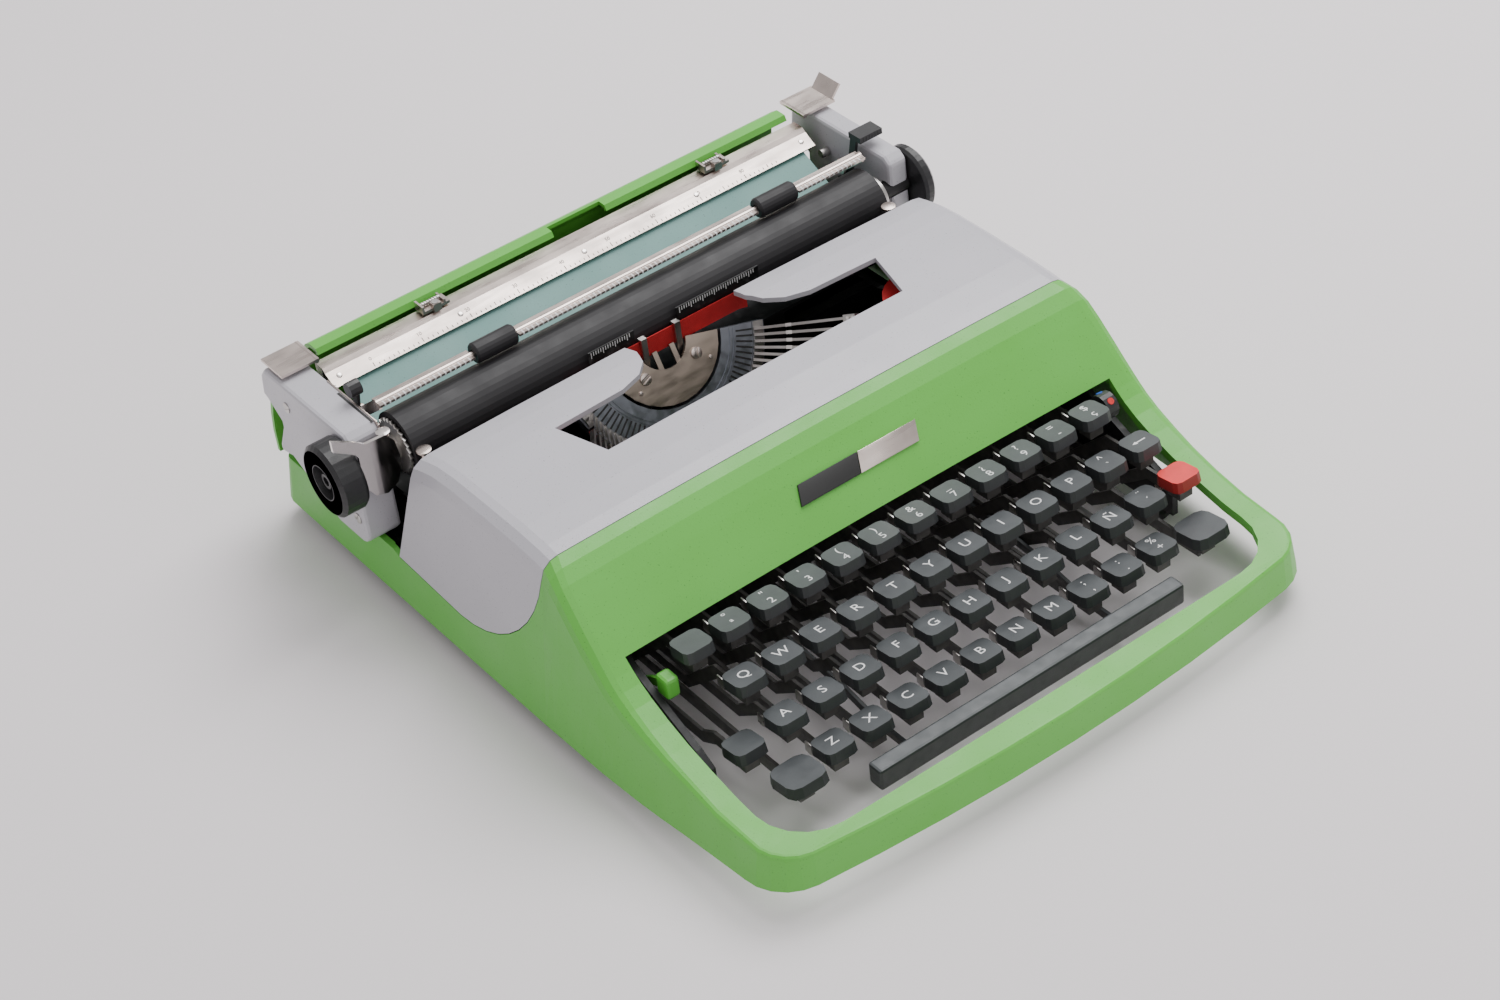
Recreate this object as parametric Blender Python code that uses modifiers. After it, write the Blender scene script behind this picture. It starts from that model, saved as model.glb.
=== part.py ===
"""Portable manual typewriter: a green shell with a grey ribbon cover, a sliding carriage and a sprung keyboard.

Millimetres are written as n * MM. +X is the typist's right, +Y the back of the machine and +Z up.
The pieces are drawn about the keyboard's middle plane, then the whole machine is moved so that the origin is on
the table under the middle of its overall box.
"""

from math import cos, pi, radians, sin

import bmesh
import bpy
from mathutils import Matrix, Vector

MM = 0.001
TO_MIDDLE = Vector((4.6, -5.2, 0)) * MM

# Shell
REAR_Y = 188
FRONT_Y = -177.5
REAR_LEAN = 0.1
FRONT_LEAN = 0.09
REAR_CORNER = 8
FRONT_CORNER = 22
FRONT_CORNER_Y = -148
WALL = 2.4 * MM
SHELL_BOTTOM = 9.5 * MM
SEAM_Y = -22 * MM
OPENING_HALF = 128 * MM
OPENING_REAR_Y = -59 * MM
OPENING_FRONT_Y = -163 * MM
LOW_WALL_Z = 32.3 * MM
SEAM_GAP = 0.4 * MM

# Keyboard
PITCH = 19.05 * MM
KEY_SIZE = 14.2 * MM
KEY_TILT = radians(8)
FULCRUM = Vector((0, 44, 18)) * MM
LEVER_THICK = 1.5 * MM
LEVER_TALL = 6 * MM
ROW_1 = Vector((-104.8, -72, 60)) * MM
ROW_2 = Vector((-95.3, -92.4, 49.9)) * MM
ROW_3 = Vector((-90.5, -110.8, 39)) * MM
ROW_4 = Vector((-81.0, -127.6, 28.9)) * MM
SPACE_LEVERS = (-50.0, 59.5)

# Carriage
PLATEN = Vector((0, 103.5, 73.5)) * MM
PLATEN_RADIUS = 15.2 * MM
PLATEN_HALF = 128.5 * MM
AXLE_RADIUS = 4 * MM
LEFT_KNOB = (-166, 17, 12.6)
RIGHT_KNOB = (156, 16.4, 6)
BAIL = Vector((0, 110.5, 92.8)) * MM
BAIL_PIVOT = Vector((0, 126, 80)) * MM

# Type basket: every bar swings to STRIKE from a ring of pivots round it, in a plane that leans back
STRIKE = Vector((-4.5, 81.5, 74)) * MM
RING_LEAN = radians(60)
RING_DOWN = Vector((0, -cos(RING_LEAN), -sin(RING_LEAN)))
RING_FACE = Vector((0, -sin(RING_LEAN), cos(RING_LEAN)))
BAR_LENGTH = 48 * MM
BAR_SWING = radians(122)
BAR_COUNT = 43
FAN_HALF = radians(72)

for old in list(bpy.data.objects):
    bpy.data.objects.remove(old, do_unlink=True)

parts = bpy.data.collections.new("portable_typewriter")
cutters = bpy.data.collections.new("cutters")
bpy.context.scene.collection.children.link(parts)
bpy.context.scene.collection.children.link(cutters)
cutters.hide_render = True


# ---------------------------------------------------------------- materials

def material(name, colour, roughness, metallic=0.0):
    made = bpy.data.materials.new(name)
    made.use_nodes = True
    shader = made.node_tree.nodes["Principled BSDF"]
    shader.inputs["Base Color"].default_value = (*colour, 1)
    shader.inputs["Roughness"].default_value = roughness
    shader.inputs["Metallic"].default_value = metallic
    made.diffuse_color = (*colour, 1)
    return made


GREEN = material("green_enamel", (0.17, 0.47, 0.09), 0.4)
GREY = material("grey_enamel", (0.50, 0.50, 0.53), 0.45)
TEAL = material("teal_enamel", (0.16, 0.34, 0.31), 0.5)
KEY_GREY = material("key_plastic", (0.045, 0.05, 0.053), 0.4)
RED = material("red_plastic", (0.75, 0.03, 0.03), 0.4)
STEEL = material("bright_steel", (0.60, 0.56, 0.52), 0.28, 1.0)
BLACK_STEEL = material("black_steel", (0.03, 0.03, 0.03), 0.45, 0.4)
CHROME = material("chrome", (0.78, 0.76, 0.75), 0.12, 1.0)
BRONZE = material("bronze_plate", (0.50, 0.42, 0.34), 0.3, 1.0)
CAST = material("segment_casting", (0.20, 0.22, 0.25), 0.4, 0.8)
RUBBER = material("black_rubber", (0.02, 0.02, 0.022), 0.6)
BLACK_PLASTIC = material("black_plastic", (0.02, 0.02, 0.022), 0.35)
RIBBON = material("ribbon_cloth", (0.60, 0.03, 0.03), 0.8)


# ---------------------------------------------------------------- modelling helpers

def link(name, mesh, place=None):
    """A new object holding a mesh, in the scene but in no named collection yet."""
    made = bpy.data.objects.new(name, mesh)
    if place is not None:
        made.matrix_world = place
    cutters.objects.link(made)
    return made


def finish_mesh(name, work):
    mesh = bpy.data.meshes.new(name)
    work.to_mesh(mesh)
    work.free()
    return mesh


def box(low, high, name="box"):
    """A block between two corners given in millimetres."""
    low = Vector(low) * MM
    high = Vector(high) * MM
    work = bmesh.new()
    bmesh.ops.create_cube(work, size=1)
    bmesh.ops.scale(work, vec=high - low, verts=work.verts)
    bmesh.ops.translate(work, vec=(low + high) / 2, verts=work.verts)
    return link(name, finish_mesh(name, work))


def rod(start, end, radius, sides=16, name="rod"):
    """A cylinder between two points in millimetres."""
    start = Vector(start) * MM
    end = Vector(end) * MM
    work = bmesh.new()
    bmesh.ops.create_cone(work, cap_ends=True, segments=sides, radius1=radius * MM,
                          radius2=radius * MM, depth=(end - start).length)
    turn = (end - start).to_track_quat("Z", "Y").to_matrix().to_4x4()
    bmesh.ops.transform(work, matrix=Matrix.Translation((start + end) / 2) @ turn, verts=work.verts)
    return link(name, finish_mesh(name, work))


def outline(points, thickness, place, name="plate"):
    """A flat outline in millimetres, as thick as given, standing on its own XY plane and moved to place."""
    curve = bpy.data.curves.new(name, "CURVE")
    curve.dimensions = "2D"
    curve.fill_mode = "BOTH"
    curve.extrude = thickness / 2
    spline = curve.splines.new("POLY")
    spline.points.add(len(points) - 1)
    for point, (x, y) in zip(spline.points, points):
        point.co = (x * MM, y * MM, 0, 1)
    spline.use_cyclic_u = True
    guide = bpy.data.objects.new(name, curve)
    bpy.context.scene.collection.objects.link(guide)
    bpy.context.view_layer.update()
    graph = bpy.context.evaluated_depsgraph_get()
    mesh = bpy.data.meshes.new_from_object(guide.evaluated_get(graph))
    work = bmesh.new()
    work.from_mesh(mesh)
    bmesh.ops.remove_doubles(work, verts=work.verts, dist=1e-6)
    bmesh.ops.recalc_face_normals(work, faces=work.faces)
    work.to_mesh(mesh)
    work.free()
    bpy.data.objects.remove(guide)
    return link(name, mesh, place)


def side_plate(points, x_low, x_high, name="side_plate"):
    """An outline drawn in Y and Z, in millimetres, between two X positions."""
    turn = Matrix(((0, 0, 1, 0), (1, 0, 0, 0), (0, 1, 0, 0), (0, 0, 0, 1)))
    middle = Matrix.Translation(((x_low + x_high) / 2 * MM, 0, 0))
    return outline(points, (x_high - x_low) * MM, middle @ turn, name)


def deck_plate(points, z_low, z_high, name="deck_plate"):
    """An outline drawn in X and Y, in millimetres, between two heights."""
    middle = Matrix.Translation((0, 0, (z_low + z_high) / 2 * MM))
    return outline(points, (z_high - z_low) * MM, middle, name)


def strip(points, thick):
    """The closed outline of a sheet of even thickness that follows a line of points."""
    near = []
    far = []
    for index, point in enumerate(points):
        before = Vector(points[max(index - 1, 0)])
        after = Vector(points[min(index + 1, len(points) - 1)])
        along = (after - before).normalized()
        across = Vector((-along.y, along.x)) * thick / 2
        near.append(tuple(Vector(point) + across))
        far.append(tuple(Vector(point) - across))
    return near + far[::-1]


def arc(centre, radius, start, end, steps):
    """Points round an arc, with the angles in degrees."""
    found = []
    for step in range(steps + 1):
        angle = radians(start + (end - start) * step / steps)
        found.append((centre[0] + radius * cos(angle), centre[1] + radius * sin(angle)))
    return found


def round_box(half_x, half_y, corner, steps=2):
    """The outline of a rectangle with round corners, about its middle."""
    found = []
    for quarter, (x, y) in enumerate(((1, 1), (-1, 1), (-1, -1), (1, -1))):
        centre = (x * (half_x - corner), y * (half_y - corner))
        found += arc(centre, corner, 90 * quarter, 90 * quarter + 90, steps)
    return found


def turned(profile, place, steps=24, name="turned"):
    """A profile of (radius, height) in millimetres turned about Z, from the top down its outer side."""
    work = bmesh.new()
    corners = [work.verts.new((radius * MM, 0, height * MM)) for radius, height in profile]
    for first, second in zip(corners, corners[1:]):
        work.edges.new((first, second))
    made = link(name, finish_mesh(name, work), place)
    screw = made.modifiers.new("turn", "SCREW")
    screw.steps = steps
    screw.render_steps = steps
    screw.use_merge_vertices = True
    screw.merge_threshold = 0.00001
    screw.use_smooth_shade = False
    return bake(made)


def bake(made):
    """Turns the modifiers of an object into plain mesh, with its normals facing out."""
    bpy.context.view_layer.update()
    graph = bpy.context.evaluated_depsgraph_get()
    mesh = bpy.data.meshes.new_from_object(made.evaluated_get(graph))
    work = bmesh.new()
    work.from_mesh(mesh)
    bmesh.ops.remove_doubles(work, verts=work.verts, dist=1e-6)
    bmesh.ops.recalc_face_normals(work, faces=work.faces)
    work.to_mesh(mesh)
    work.free()
    made.modifiers.clear()
    made.data = mesh
    return made


def cut(made, *tools, operation="DIFFERENCE"):
    """Cuts the tools out of an object, or joins them to it, and leaves plain mesh."""
    for tool in tools:
        step = made.modifiers.new(operation.lower(), "BOOLEAN")
        step.operation = operation
        step.solver = "EXACT"
        step.object = tool
    bake(made)
    for tool in tools:
        bpy.data.objects.remove(tool)
    return made


def fuse(first, *others):
    return cut(first, *others, operation="UNION")


def part(name, made, surface, pivot=None, parent=None):
    """Names a finished piece, gives it its material and puts its origin on its joint's axis."""
    place = made.matrix_world.copy()
    pivot = Vector(pivot) if pivot is not None else Vector((0, 0, 0))
    made.data.transform(Matrix.Translation(-pivot) @ place)
    made.matrix_world = Matrix.Translation(pivot)
    made.name = name
    made.data.name = name
    made.data.materials.clear()
    made.data.materials.append(surface)
    cutters.objects.unlink(made)
    parts.objects.link(made)
    if parent is not None:
        made.parent = parent
        made.matrix_parent_inverse = Matrix.Translation(-parent.location)
    return made


def joint_empty(name, place, parent=None):
    """An empty on a joint's axis that carries a moving group."""
    made = bpy.data.objects.new(name, None)
    parts.objects.link(made)
    made.location = place
    if parent is not None:
        made.parent = parent
    bpy.context.view_layer.update()
    return made


def bevel(made, width, segments=2, angle=40):
    step = made.modifiers.new("edges", "BEVEL")
    step.width = width * MM
    step.segments = segments
    step.limit_method = "ANGLE"
    step.angle_limit = radians(angle)
    return bake(made)


# ---------------------------------------------------------------- shell and ribbon cover

# Each table runs from the back to the front of the machine, in millimetres: (y, height of the shoulder),
# (y, radius over the shoulder), (y, half width at the foot of the side wall) and (y, inward lean of that wall)
SHOULDER = ((182, 40), (96, 40), (92, 86), (80, 86), (73, 86.5), (67, 88.2), (60, 89.8), (48, 90.8), (25, 91), (0, 90.8),
            (-15, 90), (-22, 89.2), (-28, 87.2), (-34, 83), (-40, 77.2), (-48, 69), (-54, 63), (-59, 58),
            (-63, 54.2), (-68, 50.2), (-75, 46), (-85, 41.4), (-97, 37), (-112, 33), (-128, 29.6), (-185, 26))
ROUNDING = ((182, 2), (96, 2), (92, 9), (-22, 9), (-34, 7), (-50, 7), (-75, 5.5), (-100, 3.5), (-185, 1.6))
SIDE = ((182, 149.5), (100, 149.5), (-22, 149), (-62, 148.3), (-83, 147.4), (-100, 146.2), (-115, 144.7),
        (-148, 142.3))
LEAN = ((182, 0.146), (-22, 0.146), (-31, 0.12), (-45, 0.12), (-60, 0.146), (-82, 0.2), (-103, 0.25), (-148, 0.2))


def along(table, y):
    """Reads a value from a table of (y, value) that runs from the back to the front."""
    for (y_back, back), (y_front, front) in zip(table, table[1:]):
        if y >= y_front:
            share = (y_back - y) / (y_back - y_front)
            return back + (front - back) * share
    return table[-1][1]


def shell_stations():
    """Outer bottom point, inward direction, lean and inner edge point of each station on the right half."""
    found = []
    width = SIDE[0][1]
    inner = OPENING_HALF / MM
    for x in (0, 70):
        found.append(((x, REAR_Y), (0, -1), REAR_LEAN, None))
    for angle in (90, 60, 30, 0):
        out = (cos(radians(angle)), sin(radians(angle)))
        centre = (width - REAR_CORNER, REAR_Y - REAR_CORNER)
        point = (centre[0] + REAR_CORNER * out[0], centre[1] + REAR_CORNER * out[1])
        found.append((point, (-out[0], -out[1]), LEAN[0][1], None))
    for y, _ in SHOULDER[1:-1]:
        edge = (inner, y) if y <= OPENING_REAR_Y / MM else None
        found.append(((along(SIDE, y), y), (-1, 0), along(LEAN, y), edge))
    inner_corner = 24
    inner_front = OPENING_FRONT_Y / MM
    last_angle = 82
    side_x, side_lean = SIDE[-1][1], LEAN[-1][1]
    for angle in (0, 16, 33, 50, 66, last_angle):
        out = (cos(radians(angle)), -sin(radians(angle)))
        point = (side_x - FRONT_CORNER + FRONT_CORNER * out[0], FRONT_CORNER_Y + FRONT_CORNER * out[1])
        lean = side_lean + (FRONT_LEAN - side_lean) * angle / last_angle
        inner_angle = radians(angle * 90 / last_angle)
        edge = (inner - inner_corner + inner_corner * cos(inner_angle),
                inner_front + inner_corner - inner_corner * sin(inner_angle))
        found.append((point, (-out[0], -out[1]), lean, edge))
    corner_x, corner_y = point
    for x in (96, 64, 32, 0):
        y = FRONT_Y + (corner_y - FRONT_Y) * (x / corner_x) ** 2
        found.append(((x, y), (0, 1), FRONT_LEAN, (x, inner_front)))
    return found


def shell_section(point, inward, lean, edge):
    """One section of the skin, from the foot of the wall over the shoulder to the top or the opening."""
    y = point[1]
    low = SHELL_BOTTOM / MM + max(0, -y - 60) * 0.012
    crest = along(SHOULDER, y)
    radius = along(ROUNDING, y)
    start = Vector((point[0], point[1]))
    inward = Vector(inward)
    section = [(*start, low)]
    side_top = crest - radius
    for share in (0.5, 1):
        height = low + (side_top - low) * share
        section.append((*(start + inward * lean * (height - low)), height))
    reach = lean * (side_top - low)
    for angle in (35, 65, 90):
        turn = radians(angle)
        shift = reach + radius * (1 - cos(turn))
        section.append((*(start + inward * shift), side_top + radius * sin(turn)))
    if edge is None:
        return section
    section.append((*edge, crest))
    section.append((*edge, crest - 4.5))
    return section


def skin(name):
    """The whole outer skin with the keyboard opening in it, as one closed wall."""
    work = bmesh.new()
    stations = shell_stations()
    rows = []
    for point, inward, lean, edge in stations:
        section = shell_section(point, inward, lean, edge)
        if abs(point[0]) < 0.01:
            section = [(0, y, z) for _, y, z in section]
        rows.append([work.verts.new(Vector(corner) * MM) for corner in section])
    for first, second in zip(rows, rows[1:]):
        for index in range(min(len(first), len(second)) - 1):
            work.faces.new((first[index], second[index], second[index + 1], first[index + 1]))
    top = []
    for (point, _, _, edge), row in zip(stations, rows):
        if point[1] < OPENING_REAR_Y / MM - 0.01 or point[1] > 100:
            continue
        last = row[6] if edge is not None else row[-1]
        bridge = [last]
        crown = 1.6 * MM
        for share in (0.66, 0.33, 0):
            height = last.co.z + crown * (1 - share ** 2)
            bridge.append(work.verts.new((last.co.x * share, last.co.y, height)))
        top.append((bridge, row))
    for (first, row_1), (second, row_2) in zip(top, top[1:]):
        for index in range(3):
            work.faces.new((first[index], second[index], second[index + 1], first[index + 1]))
        if len(row_2) > 6 and len(row_1) == 6:
            work.faces.new((row_1[5], row_2[5], row_2[6]))
    bmesh.ops.recalc_face_normals(work, faces=work.faces)
    outward = sum(face.normal.dot(face.calc_center_median() - Vector((0, 0, 0.03))) for face in work.faces)
    if outward < 0:
        bmesh.ops.reverse_faces(work, faces=work.faces)
    made = link(name, finish_mesh(name, work))
    half = made.modifiers.new("halves", "MIRROR")
    half.use_clip = True
    half.merge_threshold = 0.00001
    wall = made.modifiers.new("wall", "SOLIDIFY")
    wall.thickness = WALL
    wall.offset = -1
    wall.use_even_offset = True
    return bake(made)


def hood_outline(gap, back):
    """The side view of the ribbon cover, grown by a gap: a wide arc in front, and lower back points as given."""
    sweep = 62
    top = 90.5
    front = SEAM_Y / MM - gap
    points = [(front, 110)]
    points += arc((front + sweep + gap, top), sweep + gap, 180, 270, 10)
    return points + back


def make_shell():
    shell = skin("shell")
    above = hood_outline(SEAM_GAP / MM, [(88, 30.6), (93, LOW_WALL_Z / MM), (200, LOW_WALL_Z / MM), (200, 110)])
    cut(shell, side_plate(above, -170, 170))
    rear_slot = box((-40, 176, 16), (40, 196, 24))
    cut(shell, rear_slot)
    part("body_shell", shell, GREEN)


def window_outline():
    """The type window, open at the back between two tongues."""
    right = [(78, 15.5), (85.5, 43.5), (50, 44.5), (39, 48), (32, 55), (29, 64), (31, 110)]
    return right + [(-x, y) for x, y in right[::-1]]


def make_ribbon_cover():
    cover = skin("cover")
    inside = side_plate(hood_outline(0, [(88, 31), (73, 86), (73, 110)]), -170, 170)
    cut(cover, inside, operation="INTERSECT")
    cut(cover, deck_plate(window_outline(), 60, 120))
    part("ribbon_cover", cover, GREY)


make_shell()
make_ribbon_cover()


# ---------------------------------------------------------------- base, feet and chassis

def make_base():
    corner = 8
    points = [(146, -4), (146, 184.4 - corner), (146 - corner, 184.4)]
    points += [(-x, y) for x, y in points[::-1]]
    plate = deck_plate(points, 10.4, 11.6)
    holes = [deck_plate(round_box(12, 3, 2.9), 5, 20) for _ in range(3)]
    for hole, x in zip(holes, (-70, 0, 70)):
        hole.location.x = x * MM
        hole.location.y = 0.12
    bpy.context.view_layer.update()
    part("bottom_plate", cut(plate, *holes), BLACK_STEEL)


def make_foot(name, x, y, height):
    profile = [(0, height), (5.5, height), (5.5, 4.5), (9, 3.5), (9, 1), (8, 0), (0, 0)]
    part(name, turned(profile, Matrix.Translation(Vector((x, y, 0)) * MM), 16), RUBBER)


def make_chassis():
    side = [(-104, 12), (-104, 25), (-96, 30), (-62, 45), (-40, 56), (66, 56), (82, 36), (94, 32), (174, 31), (174, 12)]
    frame = side_plate(side, 121.5, 124.5)
    pieces = [side_plate(side, -124.5, -121.5)]
    beams = [(40, 48, 12, 14.6), (64, 72, 12, 19.5), (97, 103, 12, 32.4), (152, 158, 12, 32.4)]
    for y_low, y_high, z_low, z_high in beams:
        pieces.append(box((-123, y_low, z_low), (123, y_high, z_high)))
    for sign in (-1, 1):
        pieces.append(box((min(sign * 84, sign * 123), 14, 52), (max(sign * 84, sign * 123), 26, 55)))
        pieces.append(rod((sign * 96, 20, 54), (sign * 96, 20, 76), 2.2, 10))
    part("chassis", fuse(frame, *pieces), BLACK_STEEL)


# ---------------------------------------------------------------- type basket

def ring_frame():
    """Axes of the pivot ring: X across the machine, Y up the ring and Z out of its face."""
    place = Matrix.Identity(4)
    place.col[0][:3] = (1, 0, 0)
    place.col[1][:3] = -RING_DOWN
    place.col[2][:3] = RING_FACE
    place.col[3][:3] = STRIKE
    return place


def sector(inner, outer, half_degrees, steps):
    """A horseshoe outline in the ring's plane, open at the top."""
    start = -90 - half_degrees
    end = -90 + half_degrees
    return arc((0, 0), outer, start, end, steps) + arc((0, 0), inner, end, start, steps)


def on_ring(low, high):
    return ring_frame() @ Matrix.Translation((0, 0, (low + high) / 2 * MM))


def type_bar_piece(angle, root):
    """One type bar with its slug, lying at rest, at an angle round the ring from its lowest point."""
    length = BAR_LENGTH / MM
    outward = RING_DOWN * cos(angle) + Vector((1, 0, 0)) * sin(angle)
    lie = -outward * cos(BAR_SWING) + RING_FACE * sin(BAR_SWING)
    side = outward.cross(RING_FACE).normalized()
    normal = lie.cross(side).normalized()
    place = Matrix.Identity(4)
    place.col[0][:3] = lie
    place.col[1][:3] = side
    place.col[2][:3] = normal
    place.col[3][:3] = STRIKE + outward * BAR_LENGTH
    bar = box((-root, -0.6, -1.2), (length, 0.6, 1.2))
    slug = box((length - 4.5, -1.5, -2.6), (length + 1.4, 1.5, 1.6))
    fuse(bar, slug)
    bar.data.transform(place)
    return bar


def make_basket(basket):
    segment = outline(sector(30, 52, 76, 16), 6 * MM, on_ring(-9, -3))
    part("type_segment", segment, CAST, parent=basket)
    plate = outline(sector(12.5, 28.6, 76, 12), 1.4 * MM, on_ring(-4.4, -3))
    prongs = []
    for sign in (-1, 1):
        prong = box((sign * 4.6 - 1.2, -17, -4.2), (sign * 4.6 + 1.2, -3, -3.2))
        prong.data.transform(ring_frame())
        prongs.append(prong)
    part("segment_plate", fuse(plate, *prongs), BRONZE, parent=basket)
    heel = outline(sector(46, 51, 76, 16), 1.1 * MM, on_ring(-2.7, -1.6))
    bars = []
    middle = (BAR_COUNT - 1) / 2
    for index in range(BAR_COUNT):
        if index == middle:
            continue
        angle = FAN_HALF * (index - middle) / middle
        bars.append(type_bar_piece(angle, 2.2))
    part("type_basket", fuse(heel, *bars), STEEL, parent=basket)
    pivot = STRIKE + RING_DOWN * BAR_LENGTH
    bar = type_bar_piece(0, 0.5)
    part("type_bar", bar, STEEL, pivot=pivot, parent=basket)


def make_spool(name, sign):
    profile = [(3, 80), (21, 80), (21, 79), (9, 78.6), (9, 62.4), (21, 62), (21, 61), (3, 61)]
    place = Matrix.Translation(Vector((sign * 96, 20, 0)) * MM)
    spool = turned(profile + [profile[0]], place, 24)
    part(name, spool, RIBBON, pivot=Vector((sign * 96, 20, 61)) * MM)


def make_ribbon():
    """The strip that crosses in front of the platen, from guide to guide."""
    x = STRIKE.x / MM
    route = [(x - 47, 83.5), (x - 43, 84.9), (x + 43, 84.9), (x + 47, 83.5)]
    part("ribbon", deck_plate(strip(route, 0.4), 67.4, 77), RIBBON)


def make_vibrator():
    x = STRIKE.x / MM
    body = box((x - 10.5, 82.6, 42), (x + 10.5, 83.6, 50))
    arms = []
    for sign in (-1, 1):
        low = min(sign * 7.5, sign * 10.5)
        arms.append(box((x + low, 82.6, 48), (x + low + 3, 83.6, 79)))
        arms.append(box((x + low, 82.7, 77.4), (x + low + 3, 85.6, 78.8)))
    part("ribbon_vibrator", fuse(body, *arms), STEEL)


def make_card_guide():
    """Two black line scales in front of the platen, on one bracket."""
    left = box((-40, 85.9, 77.4), (-16, 86.7, 83.5))
    pieces = [box((7, 85.9, 77.4), (52, 86.7, 83.5)),
              box((-24, 85.9, 40), (-18, 86.6, 79)), box((9, 85.9, 40), (15, 86.6, 79)),
              box((-24, 85.9, 38), (15, 94, 40.4))]
    part("card_guide", fuse(left, *pieces), BLACK_STEEL)


# ---------------------------------------------------------------- carriage

def end_plate_outline():
    return [(100, 36.4), (103.4, 33), (128, 33), (152, 44.5), (160, 48.4), (168.5, 46.4), (170.5, 49), (163.2, 63),
            (163, 68), (167.5, 71.5), (175.5, 75), (173.6, 86), (169.5, 91), (104, 91), (100, 88)]


def make_end_plate(name, x_low, x_high, carriage):
    made = bevel(side_plate(end_plate_outline(), x_low, x_high), 1.6, 2)
    y, z = PLATEN.y / MM, PLATEN.z / MM
    bore = rod((x_low - 5, y, z), (x_high + 5, y, z), AXLE_RADIUS / MM + 0.5, 24)
    part(name, cut(made, bore), GREY, parent=carriage)


def make_carriage_frame(carriage):
    tray = box((-131, 92, 47), (131, 170, 49))
    pieces = [box((-70, 96, 32.8), (70, 104, 48)), box((-70, 151, 32.8), (70, 159, 48)),
              box((-135.4, 112, 44), (-129.6, 160, 50)), box((129.6, 112, 44), (138.6, 160, 50))]
    part("carriage_frame", fuse(tray, *pieces), BLACK_STEEL, parent=carriage)


def make_rear_cover(carriage):
    skirt = [(178.6, 70), (183, 57), (185, 46), (185, 35)]
    points = [(164, 89), (164.6, 91), (170, 91), (174, 88.5), (176.8, 83)]
    panel = side_plate(strip(points + skirt, 2), -129, 129)
    notch = box((-4, 158, 86), (25, 168.6, 96))
    flange = box((-60, 168, 51), (60, 184, 53))
    wings = [side_plate(strip(skirt, 2), -148, -128), side_plate(strip(skirt, 2), 128, 148)]
    part("rear_cover", fuse(cut(panel, notch), flange, *wings), GREEN, parent=carriage)


def make_paper_table(carriage):
    points = [(149.5, 80.6), (146, 78.8), (126, 68.5), (121.5, 64), (118, 56), (118, 50.5)]
    part("paper_table", side_plate(strip(points, 1.2), -126, 126), TEAL, parent=carriage)


def make_margin_rule(carriage):
    points = [(146.6, 81.4), (153.6, 85.6), (155.4, 87.2), (161.6, 87.4)]
    rule = side_plate(strip(points, 1), -132, 132)
    legs = [box((-132, 156, 50.4), (-129.8, 161.5, 87.4)), box((129.8, 156, 50.4), (132, 161.5, 87.4))]
    part("margin_rule", fuse(rule, *legs), STEEL, parent=carriage)


def make_margin_stop(name, x, carriage):
    body = box((x - 7, 155, 89), (x + 7, 162, 90.4))
    pieces = [box((x - 7, 155, 89), (x - 6, 162, 93)), box((x - 2, 153.6, 88.6), (x + 2, 157, 92.6)),
              box((x + 4, 155, 89), (x + 5, 162, 92))]
    stop = fuse(body, *pieces)
    part(name, stop, STEEL, pivot=Vector((x, 158.5, 89)) * MM, parent=carriage)


def make_platen(turning):
    y, z = PLATEN.y / MM, PLATEN.z / MM
    half = PLATEN_HALF / MM
    roller = rod((-half, y, z), (half, y, z), PLATEN_RADIUS / MM, 40)
    axle = rod((-153.1, y, z), (149.7, y, z), AXLE_RADIUS / MM, 20)
    part("platen", fuse(roller, axle), RUBBER, pivot=PLATEN, parent=turning)


def make_knob(name, size, turning):
    """A knob given by the X of its outer face, its radius and its thickness, with a recess round a small boss."""
    face, radius, thick = size
    sign = 1 if face > 0 else -1
    floor = max(thick - 9, 1.6)
    profile = [(0, floor + 1), (2.2, floor + 1), (2.2, thick - 1.5), (3.6, thick - 1.5), (3.6, floor),
               (6.2, floor), (8, thick), (radius - 1.8, thick), (radius, thick - 1.6), (radius, 1.5),
               (radius - 1, 0), (0, 0)]
    side = Vector((face - sign * thick, PLATEN.y / MM, PLATEN.z / MM)) * MM
    place = Matrix.Translation(side) @ Matrix.Rotation(sign * pi / 2, 4, "Y")
    part(name, turned(profile, place, 32), BLACK_PLASTIC, pivot=PLATEN, parent=turning)


def make_paper_bail(swing):
    y, z = BAIL.y / MM, BAIL.z / MM
    pivot_y, pivot_z = BAIL_PIVOT.y / MM, BAIL_PIVOT.z / MM
    bar = rod((-131.4, y, z), (131.4, y, z), 1.4, 10)
    flats = [box((low, y - 3.6, z - 0.5), (high, y + 3.6, z + 0.7)) for low, high in
             ((-131.2, -83), (-60, 70), (93, 131.2))]
    arms = []
    for sign in (-1, 1):
        low = min(sign * 130, sign * 131.4)
        arms.append(side_plate(strip([(y - 1, z), (pivot_y, pivot_z)], 5), low, low + 1.4))
        arms.append(rod((low, pivot_y, pivot_z), (low + 1.4, pivot_y, pivot_z), 3.6, 12))
    part("paper_bail", fuse(bar, *flats, *arms), STEEL, pivot=BAIL_PIVOT, parent=swing)


def make_bail_roller(name, x, swing):
    profile = [(1.9, 10.5), (4.2, 10.5), (4.8, 9.6), (4.8, -9.6), (4.2, -10.5), (1.9, -10.5), (1.9, 10.5)]
    place = Matrix.Translation(Vector((x * MM, BAIL.y, BAIL.z))) @ Matrix.Rotation(pi / 2, 4, "Y")
    part(name, turned(profile, place, 20), RUBBER, pivot=(x * MM, BAIL.y, BAIL.z), parent=swing)


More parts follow.
